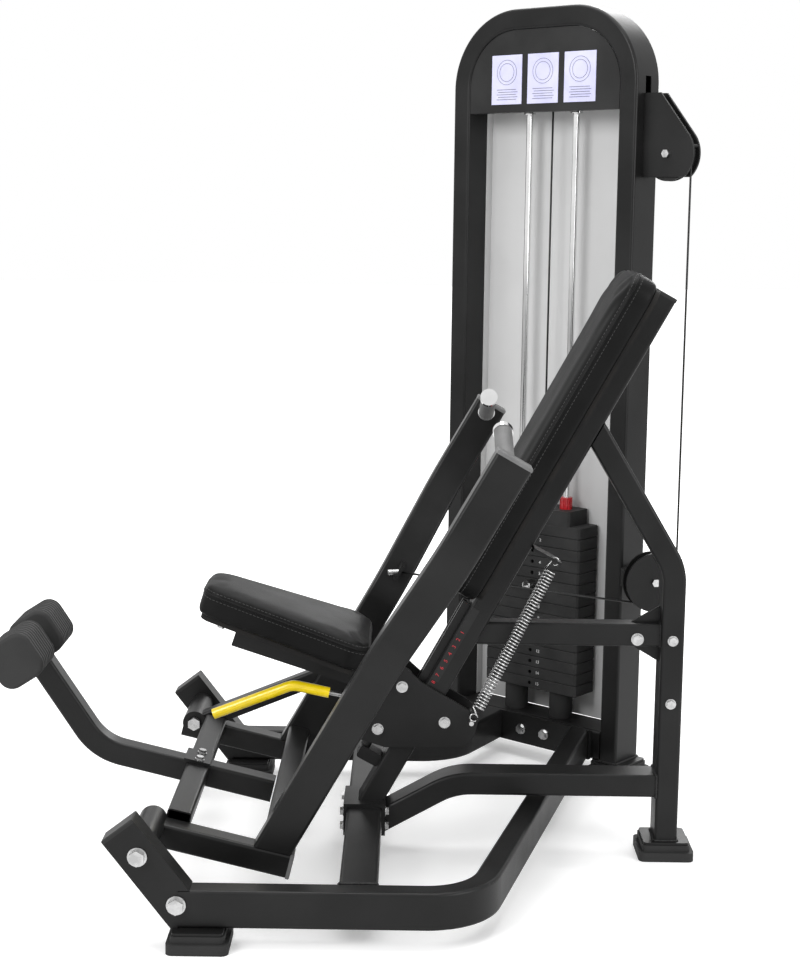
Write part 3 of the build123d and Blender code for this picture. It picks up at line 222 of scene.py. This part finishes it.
def tube_mesh(name, lines, radius, sides=10, closed=False):
    """Round tubes along lists of points, all in one mesh."""
    points, faces = [], []
    for line in lines:
        count = len(line)
        base = len(points)
        side = None
        for i, here in enumerate(line):
            ahead = line[(i + 1) % count] if closed or i + 1 < count else here
            behind = line[i - 1] if closed or i else here
            along = (ahead - behind).normalized()
            if side is None:
                side = along.orthogonal()
            side = (side - along * side.dot(along)).normalized()
            other = along.cross(side)
            for k in range(sides):
                angle = 2 * math.pi * k / sides
                points.append(here + (side * math.cos(angle) + other * math.sin(angle)) * radius)
        for i in range(count if closed else count - 1):
            for k in range(sides):
                a = base + i * sides + k
                b = base + i * sides + (k + 1) % sides
                c = base + ((i + 1) % count) * sides + (k + 1) % sides
                d = base + ((i + 1) % count) * sides + k
                faces.append((a, b, c, d))
        if not closed:
            faces.append(tuple(base + k for k in reversed(range(sides))))
            faces.append(tuple(base + (count - 1) * sides + k for k in range(sides)))
    mesh = bpy.data.meshes.new(name)
    mesh.from_pydata(points, [], faces)
    mesh.polygons.foreach_set("use_smooth", [len(face) == 4 for face in faces])
    mesh.update()
    return mesh


def bars_mesh(name, places, size):
    """The same bar at each place, a matrix, all in one mesh."""
    shape = bmesh.new()
    for place in places:
        made = bmesh.ops.create_cube(shape, size=1.0)
        scaled = place @ Matrix.Diagonal((*size, 1))
        bmesh.ops.transform(shape, matrix=scaled, verts=made["verts"])
    mesh = bpy.data.meshes.new(name)
    shape.to_mesh(mesh)
    shape.free()
    return mesh


# ---- upholstery ----------------------------------------------------------------------------------
PRESSURE = 4.0
STRETCH_STIFFNESS = 60
SHEAR_STIFFNESS = 30
BEND_STIFFNESS = 8
INFLATE_FRAMES = 20
SMOOTH_STEPS = 10
SWELL = 0.005
BACK_SEAM_Z = 0.014
SEAT_SEAM_Z = 0.015
BOARD_HOLD = 0.014
PAD_VOXEL = 0.006
SEAM_BAND = 0.004
PIPING_R = 0.0022
THREAD_R = 0.0006
STITCH = 0.0055
STITCH_STEP = 0.0085
STITCH_ROW = 0.0075


def swollen(name, node, place, seam_z, hold_z):
    """A cushion: the CAD pad, remeshed, blown up as cloth and pinned at its seam and its back."""
    cushion = bpy.data.objects.new(name, nodes[node].data.copy())
    bpy.context.scene.collection.objects.link(cushion)
    cushion.data.transform(place.inverted())
    co = np.array([v.co for v in cushion.data.vertices])
    centre = (co.min(0) + co.max(0)) / 2
    half = (co.max(0) - co.min(0)) / 2
    inset = SWELL * 0.6
    shrink = Matrix.Diagonal((*(1 - inset / half), 1))
    centred = Matrix.Translation(centre)
    lift = Matrix.Translation((0, 0, -inset))
    cushion.data.transform(lift @ centred @ shrink @ centred.inverted())
    remesh = cushion.modifiers.new("skin", "REMESH")
    remesh.mode = "VOXEL"
    remesh.voxel_size = PAD_VOXEL
    apply_modifiers(cushion)
    rest = np.array([v.co for v in cushion.data.vertices])
    held = cushion.vertex_groups.new(name="held")
    for i, z in enumerate(rest[:, 2]):
        if z < hold_z or abs(z - seam_z) < SEAM_BAND:
            held.add([i], 1.0, "REPLACE")
    inflate(cushion)
    moved = np.array([v.co for v in cushion.data.vertices]) - rest
    far = np.maximum(np.linalg.norm(moved, axis=1), 1e-9)
    capped = rest + moved * np.minimum(1, SWELL / far)[:, None]
    cushion.data.vertices.foreach_set("co", capped.ravel())
    smooth = cushion.modifiers.new("smooth", "SMOOTH")
    smooth.iterations = SMOOTH_STEPS
    rounder = cushion.modifiers.new("rounder", "SUBSURF")
    rounder.levels = 1
    apply_modifiers(cushion)
    cushion.data.polygons.foreach_set("use_smooth", [True] * len(cushion.data.polygons))
    cushion.data.materials.clear()
    cushion.data.materials.append(MATERIALS["vinyl"])
    return cushion


def apply_modifiers(thing):
    """Keep what the modifiers make as the mesh itself."""
    bpy.context.view_layer.update()
    seen = thing.evaluated_get(bpy.context.evaluated_depsgraph_get())
    mesh = bpy.data.meshes.new_from_object(seen)
    thing.modifiers.clear()
    thing.data = mesh


def inflate(cushion):
    """Cloth with pressure and no gravity, for a short run of frames."""
    cloth = cushion.modifiers.new("air", "CLOTH")
    cloth.settings.use_pressure = True
    cloth.settings.uniform_pressure_force = PRESSURE
    cloth.settings.effector_weights.gravity = 0
    cloth.settings.vertex_group_mass = "held"
    cloth.settings.quality = 5
    cloth.settings.tension_stiffness = STRETCH_STIFFNESS
    cloth.settings.compression_stiffness = STRETCH_STIFFNESS
    cloth.settings.shear_stiffness = SHEAR_STIFFNESS
    cloth.settings.bending_stiffness = BEND_STIFFNESS
    for count in range(1, INFLATE_FRAMES + 1):
        bpy.context.scene.frame_set(count)
    apply_modifiers(cushion)
    bpy.context.scene.frame_set(1)


def girth(tree, centre, step, out=0.0):
    """Evenly spaced points round a closed form at one height, found from its axis outwards."""
    rays = 360
    found = []
    for k in range(rays):
        angle = 2 * math.pi * k / rays
        away = Vector((math.cos(angle), math.sin(angle), 0))
        hit = tree.ray_cast(centre + away, -away)[0]
        found.append(hit + away * out)
    lengths = [(found[(k + 1) % rays] - found[k]).length for k in range(rays)]
    total = sum(lengths)
    count = int(total / step)
    even, k, passed = [], 0, 0.0
    for i in range(count):
        want = total * i / count
        while passed + lengths[k] < want:
            passed += lengths[k]
            k += 1
        share = (want - passed) / max(lengths[k], 1e-9)
        even.append(found[k].lerp(found[(k + 1) % rays], share))
    return even


def upholster(name, node, board, body, place, seam_z):
    """One finished pad: cushion, piping on its seam and two rows of stitches beside it."""
    high = place.inverted() @ middle(board)
    cushion = swollen(name, node, place, seam_z, high.z + BOARD_HOLD)
    tree = BVHTree.FromPolygons([v.co for v in cushion.data.vertices],
                                [tuple(p.vertices) for p in cushion.data.polygons])
    axis = Vector((0, 0, seam_z))
    line = girth(tree, axis, 0.006)
    piping = tube_mesh(name + "_piping", [line], PIPING_R, 8, closed=True)
    stitches = []
    for row in (-STITCH_ROW, STITCH_ROW):
        ring = girth(tree, axis + Vector((0, 0, row)), STITCH_STEP, out=THREAD_R * 0.4)
        for k, start in enumerate(ring):
            along = (ring[(k + 1) % len(ring)] - start).normalized()
            stitches.append([start, start + along * STITCH])
    sewn = tube_mesh(name + "_stitches", stitches, THREAD_R, 5)
    cushion.data.transform(place)
    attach(cushion, body)
    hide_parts(node)
    for mesh, material in ((piping, "vinyl"), (sewn, "thread")):
        mesh.transform(place)
        new_object(mesh.name, mesh, material, body)


back_place = axes_at(middle("back_pad"), MAIN_UP, MAIN_FRONT)
upholster("back_cushion", "back_pad", "back_board", "frame", back_place, BACK_SEAM_Z)
seat_along = Vector((math.cos(SEAT_TILT), 0, -math.sin(SEAT_TILT)))
seat_normal = Vector((math.sin(SEAT_TILT), 0, math.cos(SEAT_TILT)))
seat_place = axes_at(middle("seat_pad"), seat_along, seat_normal)
upholster("seat_cushion", "seat_pad", "seat_board", "seat_carriage", seat_place, SEAT_SEAM_Z)


# ---- foot pads: moulded rings round each pad -----------------------------------------------------
PAD_AXIS_X = Vector((0.84, 0, 0.54)).normalized()
PAD_HALF = 0.052
PAD_CORNER = 0.030
PAD_LENGTH = 0.130
PAD_GAP = 0.040
RIB_PITCH = 0.0145
RIB_DEPTH = 0.0024


def rounded_square(half, corner, steps=7):
    """Outline of a square with round corners, counter-clockwise."""
    outline = []
    flat = half - corner
    for quarter in range(4):
        turn = quarter * math.pi / 2
        for k in range(steps + 1):
            angle = k / steps * math.pi / 2
            x = flat + corner * math.cos(angle)
            y = flat + corner * math.sin(angle)
            outline.append((x * math.cos(turn) - y * math.sin(turn), x * math.sin(turn) + y * math.cos(turn)))
    return outline


def ribbed_pad(name, place, length, half, corner):
    """A rubber pad with shallow grooves round it and softened ends, along the place's z."""
    end = 0.007
    sections = [(0.0, end), (end * 0.3, end * 0.3), (end, 0.0)]
    count = int((length - 2 * end) / RIB_PITCH)
    pitch = (length - 2 * end) / count
    for k in range(count):
        start = end + k * pitch
        sections += [(start + pitch * 0.12, 0.0), (start + pitch * 0.3, RIB_DEPTH),
                     (start + pitch * 0.5, RIB_DEPTH), (start + pitch * 0.68, 0.0)]
    sections += [(length - end, 0.0), (length - end * 0.3, end * 0.3), (length, end)]
    points, faces = [], []
    for along, sunk in sections:
        for x, y in rounded_square(half - sunk, corner - sunk * 0.5):
            points.append(place @ Vector((x, y, along)))
    ring = len(points) // len(sections)
    for i in range(len(sections) - 1):
        for k in range(ring):
            after = (k + 1) % ring
            faces.append((i * ring + k, i * ring + after, (i + 1) * ring + after, (i + 1) * ring + k))
    faces.append(tuple(reversed(range(ring))))
    faces.append(tuple((len(sections) - 1) * ring + k for k in range(ring)))
    mesh = bpy.data.meshes.new(name)
    mesh.from_pydata(points, [], faces)
    mesh.polygons.foreach_set("use_smooth", [len(face) == 4 for face in faces])
    return mesh


pad_low, pad_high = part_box("foot_pads")
pad_middle = (pad_low + pad_high) / 2
for side, word in ((-1, "near"), (1, "far")):
    start = pad_middle + Vector((0, side * PAD_GAP, 0))
    pad_mesh = ribbed_pad("foot_pad_" + word, axes_at(start, PAD_AXIS_X, Vector((0, side, 0))),
                          PAD_LENGTH, PAD_HALF, PAD_CORNER)
    pad = new_object(pad_mesh.name, pad_mesh, "foot_rubber", "press_arms")
    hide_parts("foot_pads")

# ---- spring and moving cables --------------------------------------------------------------------
WIRE_R = 0.0016
COIL_R = 0.0118
COIL_PITCH = 0.0072
COIL_STEPS = 14
HOOK_LENGTH = 0.030
HOOK_STEPS = 12
HOOK_OPEN = math.radians(300)
SPRING_Y = -0.057
CABLE_R = 0.0025
spring_low_corner, spring_high_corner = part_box("seat_spring")
spring_top = Vector((spring_high_corner.x, MID_Y + SPRING_Y, spring_high_corner.z))
spring_low = Vector((spring_low_corner.x, MID_Y + SPRING_Y, spring_low_corner.z))


def spring_line(low, high):
    """A hook, a close coil and a hook, as one line of points."""
    run = (high - low).normalized()
    side = Vector((0, 1, 0))
    other = run.cross(side)
    total = (high - low).length
    body = total - 2 * HOOK_LENGTH
    turns = int(body / COIL_PITCH)
    steps = COIL_STEPS
    hook_r = COIL_R * 0.7
    line = []
    for k in range(HOOK_STEPS + 1):
        angle = math.radians(-60) + HOOK_OPEN * k / HOOK_STEPS
        centre = low + run * hook_r
        line.append(centre + other * hook_r * math.sin(angle) - run * hook_r * math.cos(angle))
    for k in range(turns * steps + 1):
        angle = 2 * math.pi * k / steps
        along = low + run * (HOOK_LENGTH + body * k / (turns * steps))
        line.append(along + (other * math.cos(angle) + side * math.sin(angle)) * COIL_R)
    for k in range(HOOK_STEPS + 1):
        angle = math.radians(120) - HOOK_OPEN * k / HOOK_STEPS
        centre = high - run * hook_r
        line.append(centre + other * hook_r * math.sin(angle) + run * hook_r * math.cos(angle))
    return line


coil = new_object("spring_coil", tube_mesh("spring_coil", [spring_line(spring_low, spring_top)], WIRE_R, 6),
                  "spring_steel", "frame")
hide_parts("seat_spring")
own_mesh(coil)


def taut_cable(name, node, start, end):
    """A straight run between two given end points, baked in place and left on no body."""
    cable = bpy.data.objects.new(name, tube_mesh(name, [[Vector(start), Vector(end)]], CABLE_R, 14))
    cable.data.materials.append(MATERIALS["cable_coat"])
    bpy.context.scene.collection.objects.link(cable)
    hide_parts(node)
    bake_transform(cable)


def far_ends(node, toward):
    """The two end points of a straight round bar, the one nearest to a given point first."""
    co = np.array([v.co for v in nodes[node].data.vertices])
    centre = co.mean(0)
    main_axis = np.linalg.svd(co - centre, full_matrices=False)[2][0]
    along = (co - centre) @ main_axis
    ends = [Vector(co[np.abs(along - limit) < 1e-4].mean(0)) for limit in (along.min(), along.max())]
    return sorted(ends, key=lambda point: (point - Vector(toward)).length)


drive_start, drive_end = far_ends("cable_drive", JOINTS["pulley_lower_spin"]["pos_m"])
taut_cable("drive_cable", "cable_drive", drive_start, drive_end)
lift_start, lift_end = far_ends("cable_stack", JOINTS["pulley_inner_spin"]["pos_m"])
taut_cable("lift_cable", "cable_stack", lift_start, lift_end)

# ---- weld beads and plain marks ------------------------------------------------------------------
BEAD_R = 0.0030
BEAD_STEP = 0.0022


def weld_run(start, end):
    """Points of one rippled bead along a straight corner."""
    run = end - start
    count = max(int(run.length / BEAD_STEP), 2)
    side = run.orthogonal().normalized()
    other = run.normalized().cross(side)
    line = []
    for k in range(count + 1):
        ripple = side * random.uniform(-0.0004, 0.0004) + other * 0.0006 * math.sin(k * 2.1)
        line.append(start + run * (k / count) + ripple)
    return line


def welds(name, body, loops):
    """Beads round rectangles; each loop is (centre, x_dir, z_dir, half_x, half_y)."""
    lines = []
    for centre, x_dir, z_dir, half_x, half_y in loops:
        place = axes_at(Vector(centre), x_dir, z_dir)
        turns = ((-1, -1), (1, -1), (1, 1), (-1, 1))
        corners = [place @ Vector((x * half_x, y * half_y, 0)) for x, y in turns]
        lines += [weld_run(a, b) for a, b in zip(corners, corners[1:] + corners[:1])]
    new_object(name, tube_mesh(name, lines, BEAD_R, 7), "weld", body)


RIGHT = Vector((1, 0, 0))
TUBE_THIN = 0.050
TUBE_WIDE = 0.075
FOOT_TOP = 0.0405
RAIL_TOP = 0.115
upright_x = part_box("rear_upright")[1].x - TUBE_THIN / 2
cross_low, cross_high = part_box("base_cross_tube")
cross_x = (cross_low.x + cross_high.x) / 2
leg_left, leg_right = middle("tower_leg_left"), middle("tower_leg_right")
frame_loops = [((upright_x, MID_Y, FOOT_TOP), RIGHT, UP, TUBE_THIN / 2, TUBE_WIDE / 2)]
LEG_DEPTH = 0.100
for leg in (leg_left, leg_right):
    frame_loops.append(((leg.x, leg.y, FOOT_TOP), TOWER_RIGHT, UP, TUBE_THIN / 2, LEG_DEPTH / 2))
for y, turn in ((cross_low.y, 1), (cross_high.y, -1)):
    spot = (cross_x, y, RAIL_TOP - TUBE_THIN / 2)
    frame_loops.append((spot, RIGHT, Vector((0, turn, 0)), TUBE_WIDE / 2, TUBE_THIN / 2))
tie_x = upright_x - TUBE_THIN / 2
TIE_Z = 0.498
LOWER_TUBE_Z = 0.163
frame_loops.append(((tie_x, MID_Y, TIE_Z), UP, RIGHT, TUBE_THIN / 2, TUBE_THIN / 2))
frame_loops.append(((tie_x, MID_Y, LOWER_TUBE_Z), UP, RIGHT, TUBE_THIN / 2, TUBE_WIDE / 2))
welds("frame_welds", "frame", frame_loops)


def marks(name, material, body, texts):
    """Small plain raised characters; each text is (word, height, place)."""
    shape = bmesh.new()
    for word, height, place in texts:
        curve = bpy.data.curves.new(name, "FONT")
        curve.body = word
        curve.size = height
        curve.align_x = "CENTER"
        curve.align_y = "CENTER"
        curve.extrude = 0.0003
        curve.resolution_u = 3
        written = bpy.data.objects.new(name, curve)
        bpy.context.scene.collection.objects.link(written)
        bpy.context.view_layer.update()
        seen = written.evaluated_get(bpy.context.evaluated_depsgraph_get())
        flat = bpy.data.meshes.new_from_object(seen)
        flat.transform(place)
        shape.from_mesh(flat)
        bpy.data.objects.remove(written)
        bpy.data.meshes.remove(flat)
    mesh = bpy.data.meshes.new(name)
    shape.to_mesh(mesh)
    shape.free()
    return new_object(name, mesh, material, body)


PLATE_PITCH = 0.029
PLATE_COUNT = 15
LIFTED_COUNT = 6
PLATE_TEXT = 0.011
PLATE_TEXT_RIGHT = 0.024
STACK_BOTTOM = 0.185
STACK_FRONT = 0.0432
stack_middle = middle("weight_plates_lifted")
stack_face = Vector((stack_middle.x, stack_middle.y, 0)) + TOWER_FRONT * STACK_FRONT
plate_texts = {"weight_stack": [], "frame": []}
for index in range(PLATE_COUNT):
    high = STACK_BOTTOM + PLATE_PITCH * (PLATE_COUNT - index - 0.5)
    spot = stack_face + TOWER_RIGHT * PLATE_TEXT_RIGHT + UP * high
    body = "weight_stack" if index < LIFTED_COUNT else "frame"
    plate_texts[body].append((str(index + 1), PLATE_TEXT, axes_at(spot, TOWER_RIGHT, TOWER_FRONT)))
for body, texts in plate_texts.items():
    marks("plate_numbers_" + body, "ink_white", body, texts)

STRIP_COUNT = 9
STRIP_LOW = 0.012
STRIP_STEP = 0.018
STRIP_BACK = 0.0335
STRIP_THICK = 0.0013
STRIP_TEXT = 0.012
near_face = MID_Y - TUBE_WIDE / 2 - STRIP_THICK
strip_texts = []
for k in range(STRIP_COUNT):
    spot = middle("seat_rack") + MAIN_UP * (STRIP_LOW + STRIP_STEP * k) - MAIN_FRONT * STRIP_BACK
    place = axes_at(Vector((spot.x, near_face, spot.z)), MAIN_UP, Vector((0, -1, 0)))
    strip_texts.append((str(STRIP_COUNT - k), STRIP_TEXT, place))
marks("scale_numbers", "ink_red", "frame", strip_texts)

CARD_STEP = 0.110
CARD_LOW = 1.665
CARD_FRONT = 0.0476
LINE_COUNT = 5
LINE_LOW = 0.012
LINE_STEP = 0.006
LINE_SHIFT = 0.004
LINE_SIZE = (0.060, 0.0012, 0.0004)
RING_HEIGHT = 0.078
RING_RADII = (0.022, 0.030)
RING_WIRE_R = 0.0005
RING_POINTS = 48
tower_axis = Vector((stack_middle.x, stack_middle.y, 0))
line_places, ring_lines = [], []
for card in (-1, 0, 1):
    foot = tower_axis + TOWER_RIGHT * (CARD_STEP * card) + TOWER_FRONT * CARD_FRONT + UP * CARD_LOW
    for k in range(LINE_COUNT):
        spot = foot + UP * (LINE_LOW + LINE_STEP * k) + TOWER_RIGHT * (LINE_SHIFT * (k % 2))
        line_places.append(axes_at(spot, TOWER_RIGHT, TOWER_FRONT))
    for radius in RING_RADII:
        turns = [2 * math.pi * a / RING_POINTS for a in range(RING_POINTS)]
        ring_lines.append([foot + UP * (RING_HEIGHT + radius * math.sin(turn))
                           + TOWER_RIGHT * radius * math.cos(turn) for turn in turns])
new_object("card_lines", bars_mesh("card_lines", line_places, LINE_SIZE), "ink", "frame")
ring_mesh = tube_mesh("card_rings", ring_lines, RING_WIRE_R, 5, closed=True)
new_object("card_rings", ring_mesh, "ink", "frame")

# ---- stage, lights and camera --------------------------------------------------------------------
SENSOR = 36.0
LENS = 65.25
CAMERA_PLACE = PIVOT + Vector((0.506, -3.693, 1.212))
PITCH = math.radians(8.72)
YAW = math.radians(0.3)
ROLL = math.radians(0.7)
FLOOR_HALF = 30.0


def white_to_camera(tree, lit, output, white):
    """The camera and mirrors see plain white there, and light sees what is given."""
    path = tree.nodes.new("ShaderNodeLightPath")
    seen = tree.nodes.new("ShaderNodeMath")
    seen.operation = "MAXIMUM"
    seen.use_clamp = True
    tree.links.new(path.outputs["Is Camera Ray"], seen.inputs[0])
    tree.links.new(path.outputs["Is Glossy Ray"], seen.inputs[1])
    both = tree.nodes.new("ShaderNodeMath")
    both.operation = "MAXIMUM"
    both.use_clamp = True
    tree.links.new(seen.outputs[0], both.inputs[0])
    tree.links.new(path.outputs["Is Transmission Ray"], both.inputs[1])
    mix = tree.nodes.new("ShaderNodeMixShader")
    tree.links.new(both.outputs[0], mix.inputs["Fac"])
    tree.links.new(lit.outputs[0], mix.inputs[1])
    tree.links.new(white.outputs[0], mix.inputs[2])
    tree.links.new(mix.outputs[0], output.inputs["Surface"])


def make_world():
    """Soft grey light from all round, white where the camera looks."""
    world = bpy.data.worlds.new("studio")
    world.use_nodes = True
    tree = world.node_tree
    lit = tree.nodes["Background"]
    lit.inputs["Color"].default_value = (1, 1, 1, 1)
    lit.inputs["Strength"].default_value = 0.5
    white = tree.nodes.new("ShaderNodeBackground")
    white.inputs["Color"].default_value = (1, 1, 1, 1)
    white.inputs["Strength"].default_value = 1.0
    white_to_camera(tree, lit, tree.nodes["World Output"], white)
    bpy.context.scene.world = world


def make_floor():
    """A pale floor that keeps the machine's shadow."""
    bpy.ops.mesh.primitive_plane_add(size=2 * FLOOR_HALF, location=(0, 0, -0.0005))
    floor = bpy.context.object
    floor.name = "studio_floor"
    paint = bpy.data.materials.new("studio_floor")
    paint.use_nodes = True
    tree = paint.node_tree
    shader = tree.nodes["Principled BSDF"]
    shader.inputs["Base Color"].default_value = (0.9, 0.9, 0.9, 1)
    shader.inputs["Roughness"].default_value = 0.9
    shader.inputs["Emission Color"].default_value = (1, 1, 1, 1)
    place = tree.nodes.new("ShaderNodeTexCoord")
    reach = tree.nodes.new("ShaderNodeVectorMath")
    reach.operation = "LENGTH"
    tree.links.new(place.outputs["Object"], reach.inputs[0])
    glow = tree.nodes.new("ShaderNodeMapRange")
    glow.inputs["From Min"].default_value = 1.0
    glow.inputs["From Max"].default_value = 4.0
    glow.inputs["To Min"].default_value = 0.30
    glow.inputs["To Max"].default_value = 1.0
    tree.links.new(reach.outputs["Value"], glow.inputs["Value"])
    path = tree.nodes.new("ShaderNodeLightPath")
    shown = tree.nodes.new("ShaderNodeMath")
    shown.operation = "MULTIPLY"
    tree.links.new(glow.outputs["Result"], shown.inputs[0])
    tree.links.new(path.outputs["Is Camera Ray"], shown.inputs[1])
    tree.links.new(shown.outputs[0], shader.inputs["Emission Strength"])
    floor.data.materials.append(paint)


def area_light(name, place, target, size, power):
    """One large soft lamp aimed at a point."""
    lamp = bpy.data.lights.new(name, "AREA")
    lamp.shape = "RECTANGLE"
    lamp.size = size[0]
    lamp.size_y = size[1]
    lamp.energy = power
    thing = bpy.data.objects.new(name, lamp)
    thing.location = place
    thing.rotation_euler = (Vector(target) - Vector(place)).to_track_quat("-Z", "Y").to_euler()
    bpy.context.scene.collection.objects.link(thing)


def make_camera():
    """The photograph's viewpoint."""
    camera = bpy.data.cameras.new("photo_camera")
    camera.sensor_fit = "VERTICAL"
    camera.sensor_height = SENSOR
    camera.lens = LENS
    camera.clip_end = 100
    ahead = Vector((-math.sin(YAW) * math.cos(PITCH), math.cos(YAW) * math.cos(PITCH), -math.sin(PITCH)))
    level = Vector((math.cos(YAW), math.sin(YAW), 0))
    above = level.cross(ahead)
    right = level * math.cos(ROLL) + above * math.sin(ROLL)
    upward = above * math.cos(ROLL) - level * math.sin(ROLL)
    turned = Matrix((right, upward, -ahead)).transposed().to_4x4()
    turned.translation = CAMERA_PLACE
    thing = bpy.data.objects.new("photo_camera", camera)
    thing.matrix_world = turned
    bpy.context.scene.collection.objects.link(thing)
    bpy.context.scene.camera = thing


make_world()
make_floor()
area_light("key", (-3.2, -3.6, 3.4), (0, 0, 0.8), (2.5, 2.5), 170)
area_light("fill", (3.6, -3.0, 2.2), (0.2, 0, 0.9), (2.5, 2.5), 90)
area_light("top", (0.2, 0.4, 4.2), (0, 0, 0.5), (3.0, 3.0), 110)
area_light("rim", (1.5, 3.8, 2.8), (0.2, 0.2, 1.0), (2.0, 2.0), 70)
make_camera()
bpy.context.scene.view_settings.view_transform = "Standard"
